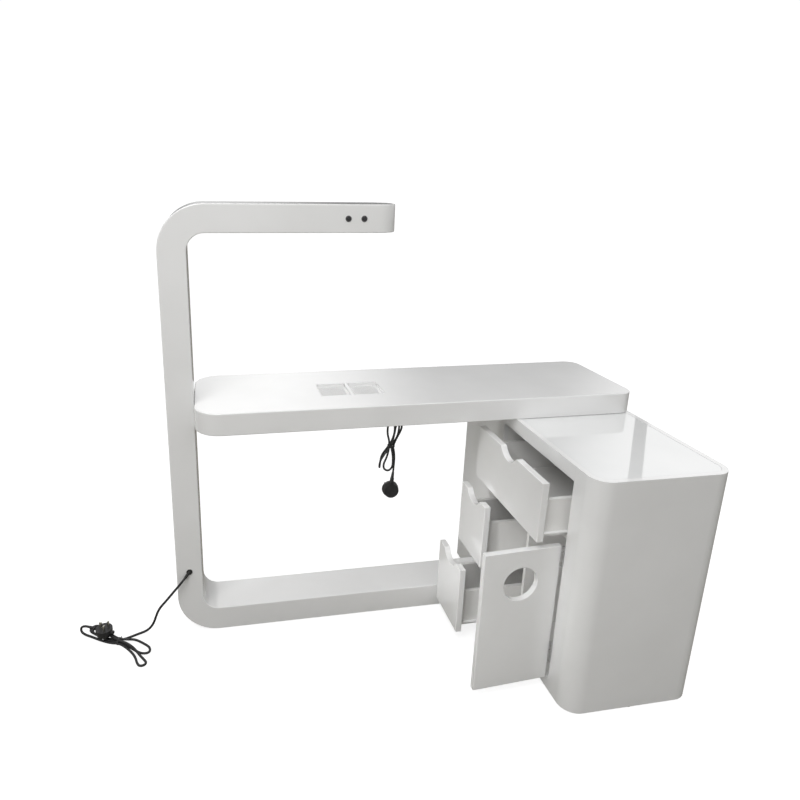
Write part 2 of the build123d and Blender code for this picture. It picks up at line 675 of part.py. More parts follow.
for name, drawer in DRAWERS.items():
    bay_front, bay_back, panel_front, panel_bottom_z, panel_top, *others = drawer
    notch_width, box_bottom, box_top, pulled = others
    bay = (bay_front, bay_back)
    panel_back = bay_back - 2
    face = CABINET_LEFT - pulled
    inner_face = face + FRONT_THICK
    box_y = (bay_front + SIDE_GAP, bay_back - SIDE_GAP)
    box_end = inner_face + BOX_LENGTH

    with BuildPart() as drawer_front:
        block((face, inner_face), (panel_front, panel_back), (panel_bottom_z, panel_top))
        notch_radius = ((notch_width / 2) ** 2 + NOTCH_DEPTH**2) / (2 * NOTCH_DEPTH)
        notch_height = panel_top - NOTCH_DEPTH + notch_radius
        with BuildSketch(Plane.YZ.offset(face)):
            with Locations(((panel_front + panel_back) / 2, notch_height)):
                Circle(notch_radius)
        extrude(amount=FRONT_THICK, mode=Mode.SUBTRACT)
        lips = drawer_front.edges().filter_by(Axis.X).group_by(Axis.Z)[-1].sort_by(Axis.Y)[1:3]
        fillet(lips, 9)
        fillet(drawer_front.faces().sort_by(Axis.X)[0].edges(), 1.5)
    save(drawer_front, f"{name}_drawer_front")

    with BuildPart() as drawer_box:
        for side in ((box_y[0], box_y[0] + SIDE), (box_y[1] - SIDE, box_y[1])):
            block((inner_face, box_end), side, (box_bottom, box_top))
    with BuildPart() as drawer_end:
        block((box_end - SIDE, box_end), (box_y[0] + SIDE, box_y[1] - SIDE), (box_bottom, box_top))
    with BuildPart() as drawer_floor:
        floor_z = (box_bottom + 4, box_bottom + 10)
        block((inner_face, box_end - SIDE), (box_y[0] + SIDE, box_y[1] - SIDE), floor_z)
    boards = [*drawer_box.solids(), drawer_end.solid(), drawer_floor.solid()]
    walls = Compound(label=f"{name}_drawer_box", children=boards)
    export_step(walls, f"parts/{name}_drawer_box.step")

    runner_x = (inner_face, inner_face + RUNNER_LENGTH)
    with BuildPart() as runners:
        for side, inward in ((box_y[0], 1), (box_y[1], -1)):
            web_y = (side - inward * GAUGE, side)
            block(runner_x, web_y, (box_bottom - GAUGE, box_bottom + FLANGE_ABOVE))
            block(runner_x, (side - inward * GAUGE, side + inward * 10), (box_bottom - GAUGE, box_bottom))
            block(
                runner_x,
                (side - inward * FLANGE, side - inward * GAUGE),
                (box_bottom + FLANGE_ABOVE - GAUGE, box_bottom + FLANGE_ABOVE),
            )
            block(
                (runner_x[1] - GLIDE_PAD, runner_x[1]),
                (side - inward * FLANGE, side - inward * GAUGE),
                (box_bottom - PAD_BELOW, box_bottom + FLANGE_ABOVE - GAUGE),
            )
    save(runners, f"{name}_drawer_runners")

    save_rollers(f"{name}_front_rollers", bay, SET_BACK + ROLLER_SET_BACK, box_bottom + AXLE_ABOVE_FLOOR)

# ---------------------------------------------------------------------------
# Door on two butt hinges, drawn square to the cabinet and turned to stand open a little further
# ---------------------------------------------------------------------------
hinge_line = Axis((HINGE_X, HINGE_Y, 0), (0, 0, 1))
door_right = HINGE_X - 1.5
door_x = (door_right - DOOR_WIDTH, door_right)
door_y = (HINGE_Y + KNUCKLE, HINGE_Y + KNUCKLE + DOOR_THICK)
with BuildPart() as door_panel:
    block(door_x, door_y, (DOOR_BOTTOM, DOOR_TOP))
    with BuildSketch(facing_front(door_y[0])):
        with Locations((sum(door_x) / 2, HOLE_HEIGHT)):
            Circle(DOOR_HOLE)
    extrude(amount=-DOOR_THICK, mode=Mode.SUBTRACT)
    fillet(door_panel.faces().sort_by(Axis.Y)[0].edges(), 1.5)
save(door_panel, "door_panel", PAST_SQUARE, hinge_line)

KNUCKLE_LENGTH = HINGE_HEIGHT / 3
LEAF = 1.2
LEAF_REACH = 24
with BuildPart() as door_hinge_leaves:
    for z in HINGE_ZS:
        block((door_right, door_right + LEAF), (door_y[0], door_y[1] - 1), (z, z + HINGE_HEIGHT))
        middle_z = (z + KNUCKLE_LENGTH + 0.2, z + 2 * KNUCKLE_LENGTH - 0.2)
        block((door_right, door_right + LEAF), (HINGE_Y, door_y[0]), middle_z)
        with Locations((HINGE_X, HINGE_Y, sum(middle_z) / 2)):
            Cylinder(KNUCKLE, middle_z[1] - middle_z[0])
            Cylinder(PIN + 0.05, middle_z[1] - middle_z[0], mode=Mode.SUBTRACT)
save(door_hinge_leaves, "door_hinge_leaves", PAST_SQUARE, hinge_line)

with BuildPart() as fixed_hinge_leaves:
    for z in HINGE_ZS:
        for low in (z, z + 2 * KNUCKLE_LENGTH):
            block(
                (HINGE_X, CABINET_LEFT + LEAF_REACH),
                (OPENING_FRONT, OPENING_FRONT + LEAF),
                (low, low + KNUCKLE_LENGTH),
            )
            with Locations((HINGE_X, HINGE_Y, low + KNUCKLE_LENGTH / 2)):
                Cylinder(KNUCKLE, KNUCKLE_LENGTH)
        block(
            (CABINET_LEFT, CABINET_LEFT + LEAF_REACH),
            (OPENING_FRONT, OPENING_FRONT + LEAF),
            (z + KNUCKLE_LENGTH, z + 2 * KNUCKLE_LENGTH),
        )
        with Locations((HINGE_X, HINGE_Y, z + HINGE_HEIGHT / 2)):
            Cylinder(PIN + 0.04, HINGE_HEIGHT, mode=Mode.SUBTRACT)
save(fixed_hinge_leaves, "fixed_hinge_leaves")

with BuildPart() as hinge_pins:
    for z in HINGE_ZS:
        with Locations((HINGE_X, HINGE_Y, z + HINGE_HEIGHT / 2)):
            Cylinder(PIN, HINGE_HEIGHT)
        with Locations((HINGE_X, HINGE_Y, z + HINGE_HEIGHT + 0.5)):
            Cylinder(PIN + 1, 1)
save(hinge_pins, "hinge_pins")

# ---------------------------------------------------------------------------
# Lamp cord: slanting out of the column, down to the floor, and tied into a loose hank
# ---------------------------------------------------------------------------
lamp_exit = Plane(
    origin=(CORD_HOLE[0], BEAM_FRONT, CORD_HOLE[1]),
    x_dir=(0, 0.818, -0.575),
    z_dir=(-0.62, -0.45, -0.64),
)
LAMP_SLEEVE = 22
with BuildPart() as lamp_cord_relief:
    with BuildSketch(lamp_exit.offset(-8)):
        Circle(5.2)
    with BuildSketch(lamp_exit.offset(LAMP_SLEEVE)):
        Circle(4.4)
    loft()
    block((LEFT, TOP_LEFT), (BEAM_FRONT, BEAM_BACK), (0, TABLE_HEIGHT), mode=Mode.SUBTRACT)
    with BuildSketch(facing_front(BEAM_FRONT)):
        with Locations(CORD_HOLE):
            Circle(9)
    extrude(amount=2)
    with BuildSketch(facing_front(BEAM_FRONT)):
        with Locations(CORD_HOLE):
            Circle(5.4)
    extrude(amount=-BEAM_WALL)
save(lamp_cord_relief, "lamp_cord_relief")

on_floor = LAMP_CORD / 2
lamp_route = [
    tuple(lamp_exit.from_local_coords((0, 0, LAMP_SLEEVE))),
    (-685.5, 98, 195.5),
    (-697, 94, 183.5),
    (-710, 93, 169),
    (-726, 93.5, 149),
    (-741, 96, 130),
    (-755, 100, 112),
    (-765, 105, 92),
    (-773, 111, 68),
    (-779, 117, 49),
    (-787, 122, 32),
    (-797, 127, 18),
    (-809, 130, 8.5),
    (-823, 129.5, 4.5),
    (-837, 124.5, on_floor),
    (-851, 118, on_floor),
    (-865, 112, on_floor),
    (-878, 108.5, on_floor),
]
save_cord("lamp_cord", lamp_route, LAMP_CORD)

# The hank is tied in the middle, with two loops towards the column and two away from it.
# Its far end climbs to the plug, which lies on the turns.
HANK_HEIGHT = 19.5
lamp_hank_outline = [
    (-868, 113),
    (-858, 105),
    (-836, 105),
    (-812, 90),
    (-790, 70),
    (-784, 48),
    (-790, 33),
    (-812, 30),
    (-800, 6),
    (-797, -8),
    (-812, -15),
    (-822, -2),
    (-844, 40),
    (-866, 70),
    (-884, 88),
    (-910, 94),
    (-944, 113),
    (-976, 136),
    (-992, 154),
    (-982, 176),
    (-968, 187),
    (-948, 181),
    (-922, 152),
    (-886, 112),
]
RISE_HEIGHT = 37.5
lamp_rise_outline = [
    (-959.4, 131.6),
    (-954.2, 142.4),
    (-988, 163),
    (-1000, 168),
    (-1008, 162),
    (-992, 147),
    (-974, 135),
]
with BuildPart() as lamp_cord_hank:
    for outline, height in ((lamp_hank_outline, HANK_HEIGHT), (lamp_rise_outline, RISE_HEIGHT)):
        with BuildSketch(Plane.XY):
            with BuildLine():
                Polyline(*outline, close=True)
            make_face()
        extrude(amount=height)
save(lamp_cord_hank, "lamp_cord_hank")

save_plug(
    "lamp_plug",
    Plane(origin=(-928, 123, HANK_HEIGHT + PLUG_FRONT), x_dir=(0.436, 0.9, 0), z_dir=(0, 0, -1)),
    32,
)

# ---------------------------------------------------------------------------
# Extractor cord: out of the tabletop's underside, tied into a hanging hank, with its plug below
# ---------------------------------------------------------------------------
FAN_RELIEF = 20
save_strain_relief(
    "extractor_cord_relief",
    Plane(origin=(*FAN_GLAND, TOP_BOTTOM), x_dir=(1, 0, 0), z_dir=(0, 0, -1)),
    FAN_RELIEF,
    4.8,
    3.6,
)
upper_route = [
    (*FAN_GLAND, TOP_BOTTOM - FAN_RELIEF),
    (-28.5, 97.5, 650),
    (-32, 94, 634),
    (-41, 87, 620),
    (-50, 82.5, 611),
]
save_cord("extractor_cord_upper", upper_route, FAN_CORD)

# The hank hangs with its upper loops close under the tabletop and its lower loops in front of the wall.
hank_top_outline = [
    (-73, TOP_BOTTOM - 1),
    (-29, TOP_BOTTOM - 1),
    (-28, 664),
    (-38, 636),
    (-48, 610),
    (-48, 600),
    (-70, 600),
    (-66, 622),
    (-74, 642),
]
hank_bottom_outline = [
    (-69, 612),
    (-48, 612),
    (-42.5, 594),
    (-42.5, 534),
    (-50, 528),
    (-66, 523),
    (-82, 529),
    (-93, 531),
    (-97, 548),
    (-93, 566),
    (-82, 588),
]
with BuildPart() as extractor_cord_hank:
    for outline, near, far in ((hank_top_outline, 61, 84), (hank_bottom_outline, 65, 100)):
        with BuildSketch(facing_front(near)):
            with BuildLine():
                Polyline(*outline, close=True)
            make_face()
        extrude(amount=near - far)
save(extractor_cord_hank, "extractor_cord_hank")

PLUG_ENTRY = (-48.8, 79, 498)
lower_route = [
    (-46.5, 76.5, 536),
    (-46.6, 78.2, 523),
    (-47.6, 79, 510),
    PLUG_ENTRY,
]
save_cord("extractor_cord_lower", lower_route, FAN_CORD)

save_plug(
    "extractor_plug",
    Plane(origin=(-52.5, 80, 461), x_dir=(0.995, 0, -0.1), z_dir=(0, -1, 0)),
    37,
)
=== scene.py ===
"""Looks of the manicure table: lacquered frame and cabinet, running gear, lamp, vents and two mains cords.

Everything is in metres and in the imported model's own frame: X along the table, the front towards -Y,
and the floor at Z = 0. Cord routes are written in millimetres, as in the part's source.
"""

import json
import math

import bpy
from mathutils import Matrix, Vector


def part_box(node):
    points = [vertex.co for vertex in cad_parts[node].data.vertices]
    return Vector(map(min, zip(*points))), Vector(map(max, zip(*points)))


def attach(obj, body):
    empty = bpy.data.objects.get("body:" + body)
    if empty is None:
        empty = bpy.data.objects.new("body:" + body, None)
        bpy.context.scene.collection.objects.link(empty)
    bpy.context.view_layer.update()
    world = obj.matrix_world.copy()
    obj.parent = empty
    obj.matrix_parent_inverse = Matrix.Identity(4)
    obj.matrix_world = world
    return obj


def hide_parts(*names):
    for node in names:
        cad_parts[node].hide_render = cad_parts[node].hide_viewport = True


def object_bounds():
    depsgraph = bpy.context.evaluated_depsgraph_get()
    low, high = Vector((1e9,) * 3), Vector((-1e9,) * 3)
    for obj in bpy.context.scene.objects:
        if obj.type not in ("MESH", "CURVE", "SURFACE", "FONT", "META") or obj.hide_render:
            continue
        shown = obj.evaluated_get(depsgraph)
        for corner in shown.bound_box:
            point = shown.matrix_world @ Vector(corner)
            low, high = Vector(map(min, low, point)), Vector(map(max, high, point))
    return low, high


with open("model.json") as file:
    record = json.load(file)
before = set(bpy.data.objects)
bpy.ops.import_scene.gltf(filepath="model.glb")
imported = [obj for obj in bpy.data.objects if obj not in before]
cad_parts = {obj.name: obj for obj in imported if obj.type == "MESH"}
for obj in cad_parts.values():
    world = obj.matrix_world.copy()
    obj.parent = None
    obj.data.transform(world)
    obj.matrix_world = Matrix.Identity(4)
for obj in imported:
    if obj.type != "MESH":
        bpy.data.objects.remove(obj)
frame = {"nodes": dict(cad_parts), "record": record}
cad_box = [list(corner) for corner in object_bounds()]
MM = 0.001

# The part of its 0 to 1 range that a cloud pattern mostly stays within.
CLOUD_LOW, CLOUD_HIGH = 0.3, 0.7


# ---------------------------------------------------------------------------
# Node helpers
# ---------------------------------------------------------------------------
def new_material(name, settings):
    """A material whose shader has these uniform settings on its own sockets."""
    made = bpy.data.materials.new(name)
    made.use_nodes = True
    tree = made.node_tree
    surface = tree.nodes["Principled BSDF"]
    for socket, value in settings.items():
        surface.inputs[socket].default_value = value
    return made, tree, surface


def noise(tree, scale, detail=3, stretch=(1, 1, 1)):
    """A cloud pattern fixed to the object, with so many features to a metre, stretched along an axis."""
    place = tree.nodes.new("ShaderNodeTexCoord")
    mapping = tree.nodes.new("ShaderNodeMapping")
    mapping.inputs["Scale"].default_value = stretch
    pattern = tree.nodes.new("ShaderNodeTexNoise")
    pattern.inputs["Scale"].default_value = scale
    pattern.inputs["Detail"].default_value = detail
    tree.links.new(place.outputs["Object"], mapping.inputs["Vector"])
    tree.links.new(mapping.outputs["Vector"], pattern.inputs["Vector"])
    return pattern.outputs["Fac"]


def between(tree, pattern, low, high):
    """A number that follows a pattern from low to high."""
    ranged = tree.nodes.new("ShaderNodeMapRange")
    ranged.inputs["From Min"].default_value = CLOUD_LOW
    ranged.inputs["From Max"].default_value = CLOUD_HIGH
    ranged.inputs["To Min"].default_value = low
    ranged.inputs["To Max"].default_value = high
    tree.links.new(pattern, ranged.inputs["Value"])
    return ranged.outputs["Result"]


def shades(tree, pattern, first, second):
    """A colour that follows a pattern from the first to the second."""
    ramp = tree.nodes.new("ShaderNodeValToRGB")
    ramp.color_ramp.elements[0].position = CLOUD_LOW
    ramp.color_ramp.elements[0].color = (*first, 1)
    ramp.color_ramp.elements[1].position = CLOUD_HIGH
    ramp.color_ramp.elements[1].color = (*second, 1)
    tree.links.new(pattern, ramp.inputs["Fac"])
    return ramp.outputs["Color"]


def relief(tree, surface, layers, edge):
    """Edges softened by a small radius, and bumps laid on each other: (pattern, height in metres) a layer."""
    normal = None
    if edge:
        softened = tree.nodes.new("ShaderNodeBevel")
        softened.samples = 4
        softened.inputs["Radius"].default_value = edge
        normal = softened.outputs["Normal"]
    for pattern, height in layers:
        bump = tree.nodes.new("ShaderNodeBump")
        bump.inputs["Strength"].default_value = 1
        bump.inputs["Distance"].default_value = height
        tree.links.new(pattern, bump.inputs["Height"])
        if normal:
            tree.links.new(normal, bump.inputs["Normal"])
        normal = bump.outputs["Normal"]
    tree.links.new(normal, surface.inputs["Normal"])


def finish_of(name, first, second, gloss, layers, settings, cloud=(6, 3), stretch=(1, 1, 1), edge=0):
    """A material with clouded colour, roughness that wanders across the gloss range, and a fine relief.

    cloud is the colour's features to a metre and their detail. Each of layers is the features to a metre of
    one bump pattern and its height in metres.
    """
    made, tree, surface = new_material(name, settings)
    scale, detail = cloud
    colour = shades(tree, noise(tree, scale, detail, stretch), first, second)
    tree.links.new(colour, surface.inputs["Base Color"])
    rough = between(tree, noise(tree, scale * 3, 4, stretch), *gloss)
    tree.links.new(rough, surface.inputs["Roughness"])
    relief(tree, surface, [(noise(tree, fine, 2, stretch), height) for fine, height in layers], edge)
    return made


# ---------------------------------------------------------------------------
# Materials, one for each slot of the record
# ---------------------------------------------------------------------------
def lacquer(name, edge):
    """Gloss white lacquer, a little wavy and with a fine orange peel."""
    return finish_of(
        name, (0.865, 0.865, 0.86), (0.9, 0.9, 0.897), (0.12, 0.2),
        [(5, 0.0005), (340, 0.00003)],
        {"IOR": 1.5, "Coat Weight": 0.7, "Coat Roughness": 0.04},
        edge=edge,
    )


def make_materials():
    """Material slot name to its material."""
    made = {}
    made["white_lacquer"] = lacquer("white_lacquer", 0)
    made["white_melamine"] = finish_of(
        "white_melamine", (0.8, 0.795, 0.78), (0.85, 0.845, 0.83), (0.42, 0.58),
        [(900, 0.00004)],
        {"IOR": 1.47},
        edge=0.6 * MM,
    )
    made["glossy_glass"] = finish_of(
        "glossy_glass", (0.86, 0.87, 0.868), (0.9, 0.905, 0.902), (0.015, 0.05),
        [(3, 0.0004)],
        {"IOR": 1.52, "Coat Weight": 1, "Coat Roughness": 0.02},
    )
    made["white_steel"] = finish_of(
        "white_steel", (0.88, 0.88, 0.875), (0.92, 0.92, 0.915), (0.14, 0.24),
        [(1100, 0.00004)],
        {"IOR": 1.5, "Coat Weight": 0.8, "Coat Roughness": 0.05},
    )
    made["nylon"] = finish_of(
        "nylon", (0.72, 0.71, 0.67), (0.8, 0.79, 0.75), (0.38, 0.52),
        [(240, 0.00005)],
        {"IOR": 1.53, "Subsurface Weight": 0.15, "Subsurface Radius": (0.002, 0.002, 0.0015)},
    )
    made["steel"] = finish_of(
        "steel", (0.5, 0.5, 0.51), (0.68, 0.68, 0.69), (0.24, 0.42),
        [(160, 0.00002)],
        {"Metallic": 1},
        cloud=(60, 2),
    )
    made["aluminium"] = finish_of(
        "aluminium", (0.7, 0.71, 0.72), (0.82, 0.82, 0.83), (0.28, 0.4),
        [(900, 0.00003)],
        {"Metallic": 1},
        cloud=(30, 2),
        stretch=(0.05, 1, 1),
    )
    made["led_board"] = led_board_material()
    made["diffuser"] = finish_of(
        "diffuser", (0.86, 0.86, 0.85), (0.9, 0.9, 0.89), (0.42, 0.55),
        [(700, 0.00004)],
        {"IOR": 1.49, "Transmission Weight": 0.25},
    )
    made["driver_case"] = finish_of(
        "driver_case", (0.74, 0.74, 0.73), (0.8, 0.8, 0.79), (0.5, 0.62),
        [(1500, 0.00008)],
        {"IOR": 1.5},
    )
    made["switch_metal"] = finish_of(
        "switch_metal", (0.34, 0.34, 0.35), (0.42, 0.42, 0.43), (0.2, 0.3),
        [(2600, 0.00001)],
        {"Metallic": 1},
        cloud=(400, 2),
    )
    made["button_black"] = finish_of(
        "button_black", (0.03, 0.03, 0.033), (0.045, 0.045, 0.048), (0.22, 0.34),
        [(2400, 0.00002)],
        {"IOR": 1.5},
        cloud=(300, 2),
    )
    made["fan_plastic"] = finish_of(
        "fan_plastic", (0.014, 0.014, 0.015), (0.026, 0.026, 0.027), (0.42, 0.55),
        [(1600, 0.00005)],
        {"IOR": 1.5},
        cloud=(80, 3),
    )
    made["black_rubber"] = finish_of(
        "black_rubber", (0.014, 0.014, 0.014), (0.028, 0.027, 0.026), (0.55, 0.7),
        [(1800, 0.00006)],
        {"IOR": 1.48},
        cloud=(120, 3),
    )
    made["plug_black"] = finish_of(
        "plug_black", (0.012, 0.012, 0.013), (0.024, 0.024, 0.025), (0.3, 0.45),
        [(1300, 0.00005)],
        {"IOR": 1.5},
        cloud=(90, 3),
    )
    return made


def led_board_material():
    """White solder mask, with yellow phosphor where a package stands below the board."""
    made, tree, surface = new_material("led_board", {"IOR": 1.5})
    low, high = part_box("led_strip")
    packages_end, board_begins = 0.3, 0.35  # as shares of the strip's height
    place = tree.nodes.new("ShaderNodeTexCoord")
    split = tree.nodes.new("ShaderNodeSeparateXYZ")
    step = tree.nodes.new("ShaderNodeMapRange")
    step.inputs["From Min"].default_value = low.z + packages_end * (high.z - low.z)
    step.inputs["From Max"].default_value = low.z + board_begins * (high.z - low.z)
    step.inputs["To Min"].default_value = 0
    step.inputs["To Max"].default_value = 1
    tree.links.new(place.outputs["Object"], split.inputs[0])
    tree.links.new(split.outputs["Z"], step.inputs["Value"])
    colour = shades(tree, step.outputs["Result"], (0.78, 0.62, 0.12), (0.84, 0.84, 0.82))
    tree.links.new(colour, surface.inputs["Base Color"])
    rough = between(tree, noise(tree, 300), 0.3, 0.5)
    tree.links.new(rough, surface.inputs["Roughness"])
    return made


materials = make_materials()
cord_sheath = finish_of(
    "cord_sheath", (0.012, 0.012, 0.013), (0.022, 0.022, 0.023), (0.36, 0.5),
    [(90, 0.00012), (1500, 0.00003)],
    {"IOR": 1.5},
    cloud=(70, 3),
)
pin_metal = finish_of(
    "pin_metal", (0.62, 0.6, 0.52), (0.74, 0.72, 0.64), (0.16, 0.3),
    [(900, 0.00002)],
    {"Metallic": 1},
    cloud=(250, 2),
)
tie_plastic = finish_of(
    "tie_plastic", (0.02, 0.02, 0.021), (0.035, 0.035, 0.036), (0.3, 0.45),
    [(700, 0.00008)],
    {"IOR": 1.5},
    cloud=(200, 2),
)


def dress(piece, material):
    """Gives a piece one material in place of those that it came with."""
    piece.data.materials.clear()
    piece.data.materials.append(material)


# The frame and the tabletop have real rounded edges, and the sawn boards get theirs from the shading.
lacquered_board = lacquer("white_lacquer_board", 1.2 * MM)
BOARDS = ("cabinet", "door_panel", "top_drawer", "middle_drawer", "bottom_drawer", "vent")

for subpart in frame["record"]["subparts"]:
    node, slot = subpart["node"], subpart["material_slot"]
    is_board = slot == "white_lacquer" and node.startswith(BOARDS)
    dress(frame["nodes"][node], lacquered_board if is_board else materials[slot])


# ---------------------------------------------------------------------------
# Mesh helpers
# ---------------------------------------------------------------------------
def add_piece(name, points, faces, material, smooth=True):
    """A mesh piece that rides on the table."""
    mesh = bpy.data.meshes.new(name)
    mesh.from_pydata([tuple(point) for point in points], [], faces)
    mesh.update()
    mesh.polygons.foreach_set("use_smooth", [smooth] * len(mesh.polygons))
    piece = bpy.data.objects.new(name, mesh)
    bpy.context.scene.collection.objects.link(piece)
    dress(piece, material)
    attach(piece, "table")
    return piece


def skin(rings, closed_ends=True):
    """Points and faces of a tube through rings that have the same number of points."""
    around = len(rings[0])
    points = [point for ring in rings for point in ring]
    faces = []
    for lower in range(len(rings) - 1):
        for i in range(around):
            j = (i + 1) % around
            first, second = lower * around, (lower + 1) * around
            faces.append((first + i, first + j, second + j, second + i))
    if closed_ends:
        faces.append(tuple(reversed(range(around))))
        faces.append(tuple(range(len(points) - around, len(points))))
    return points, faces


def across_and_up(direction):
    """Two unit vectors that stand square to a direction and to each other."""
    side = direction.cross(Vector((0, 0, 1)))
    if side.length < 0.1:
        side = direction.cross(Vector((0, 1, 0)))
    side.normalize()
    return side, side.cross(direction).normalized()


# ---------------------------------------------------------------------------
# Cords: control points in millimetres, the loose stretch as in the part's source, then the hank's turns
# ---------------------------------------------------------------------------
LAMP_CORD = 7.2 * MM
FAN_CORD = 6 * MM

# z of a turn that lies on the floor, and of one that lies on the turns below it
LOW, HIGH = 3.6, 10.8

lamp_points = [
    (-678.14, 103.35, 201.92),
    (-685.5, 98, 195.5),
    (-697, 94, 183.5),
    (-710, 93, 169),
    (-726, 93.5, 149),
    (-741, 96, 130),
    (-755, 100, 112),
    (-765, 105, 92),
    (-773, 111, 68),
    (-779, 117, 49),
    (-787, 122, 32),
    (-797, 127, 18),
    (-809, 130, 8.5),
    (-823, 129.5, 4.5),
    (-837, 124.5, LOW),
    (-851, 118, LOW),
    (-865, 112, LOW),
    (-884, 107.5, LOW + 1),
    # first loop away from the column
    (-908, 115, LOW),
    (-936, 132, LOW),
    (-956, 147, LOW),
    (-971, 157, LOW),
    (-980, 172, 5),
    (-966, 185, 8),
    (-946, 174, HIGH),
    (-927, 149, HIGH),
    (-905, 124, HIGH),
    (-884, 104, HIGH + 1),
    # first loop towards the column
    (-860, 100, HIGH - 1),
    (-836, 102, 5),
    (-811, 82, LOW),
    (-789, 60, LOW),
    (-789, 36, LOW),
    (-813, 37, LOW),
    (-834, 55, LOW),
    (-860, 82, LOW),
    (-884, 100.2, LOW + 1),
    # second loop away from the column, over the first
    (-907, 106, LOW),
    (-928, 119, 6),
    (-946, 130, HIGH),
    (-965, 141, HIGH + 3),
    (-968, 160, HIGH + 5),
    (-950, 164, HIGH + 4),
    (-930, 141, HIGH + 4),
    (-907, 115, HIGH + 3),
    (-884, 96.7, HIGH + 1),
    # second loop towards the column
    (-862, 84, HIGH + 0.5),
    (-842, 64, HIGH + 0.5),
    (-827, 42, HIGH),
    (-814, 23, 7),
    (-803, 10, LOW),
    (-795, -3, LOW),
    (-800, -14, LOW),
    (-814, -15, LOW),
    (-822, -1, LOW),
    (-829, 24, LOW),
    (-842, 48, LOW),
    (-863, 75, LOW),
    (-884, 93, LOW + 1),
    # past the loops and up to the plug that lies on them
    (-908, 99, LOW),
    (-940, 117, LOW),
    (-968, 137, LOW),
    (-990, 151, LOW),
    (-1003, 160, 9),
    (-1003, 163, 23),
    (-990, 156, 32),
    (-972, 145.5, 33.5),
    (-956.8, 137, 32.5),
]

fan_points = [
    (-28, 98, 665),
    (-28.5, 97.5, 650),
    (-32, 94, 634),
    (-41, 87, 620),
    (-56, 80, 607),
    # first loop below the tie
    (-66, 77, 594),
    (-79, 75, 578),
    (-89, 74, 562),
    (-92, 74, 547),
    (-90, 79, 536),
    (-86, 91, 536),
    (-83, 97, 550),
    (-81, 94, 568),
    (-74, 88, 585),
    (-62, 80, 607),
    # first loop above it
    (-63, 80, 624),
    (-69, 78, 642),
    (-70, 77, 662),
    (-68, 76, 677),
    (-58, 76, 682),
    (-49, 76, 676),
    (-48, 76, 660),
    (-49, 76, 644),
    (-55, 75, 626),
    (-65, 72.5, 607),
    # second loop below
    (-66, 71, 592),
    (-72, 70, 570),
    (-81, 69, 552),
    (-79, 69, 535),
    (-65, 69, 528),
    (-53, 69, 539),
    (-51.5, 70, 558),
    (-53, 71, 582),
    (-59, 72, 607),
    # second loop above
    (-57, 66, 622),
    (-54, 64, 640),
    (-51, 64, 656),
    (-49, 65, 671),
    (-44, 67, 680.5),
    (-33, 68, 680.5),
    (-28, 69, 669),
    (-33, 70, 652),
    (-42, 71, 634),
    (-53, 72, 607),
    # down to the plug
    (-48, 73, 588),
    (-46, 74, 568),
    (-46, 75.5, 552),
    (-46.5, 76.5, 536),
    (-46.6, 78.2, 523),
    (-47.6, 79, 510),
    (-48.8, 79, 498),
]


def lay_cord(name, points, diameter):
    """A cord of one smooth spline through a route given in millimetres."""
    curve = bpy.data.curves.new(name, "CURVE")
    curve.dimensions = "3D"
    spline = curve.splines.new("NURBS")
    spline.points.add(len(points) - 1)
    for control, point in zip(spline.points, points):
        control.co = (*(value * MM for value in point), 1)
    spline.order_u = 3
    spline.use_endpoint_u = True
    curve.resolution_u = 8
    curve.bevel_depth = diameter / 2
    curve.bevel_resolution = 5
    curve.use_fill_caps = True
    piece = bpy.data.objects.new(name, curve)
    bpy.context.scene.collection.objects.link(piece)
    dress(piece, cord_sheath)
    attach(piece, "table")
    return piece


def centreline(cord):
    """Points along a cord's own line, from its exit to its far end."""
    bare = bpy.data.objects.new("bare_line", cord.data.copy())
    bare.data.bevel_depth = 0
    line = bpy.data.meshes.new_from_object(bare)
    points = [vertex.co.copy() for vertex in line.vertices]
    bpy.data.curves.remove(bare.data)
    return points


def strands_at(line, middle, along, reach):
    """Where a cord's line passes through the plane at middle that stands square to along."""
    found = []
    for start, end in zip(line, line[1:]):
        before, after = (start - middle).dot(along), (end - middle).dot(along)
        if before * after <= 0 and before != after:
            crossing = start.lerp(end, before / (before - after))
            if (crossing - middle).length < reach:
                found.append(crossing)
    return found


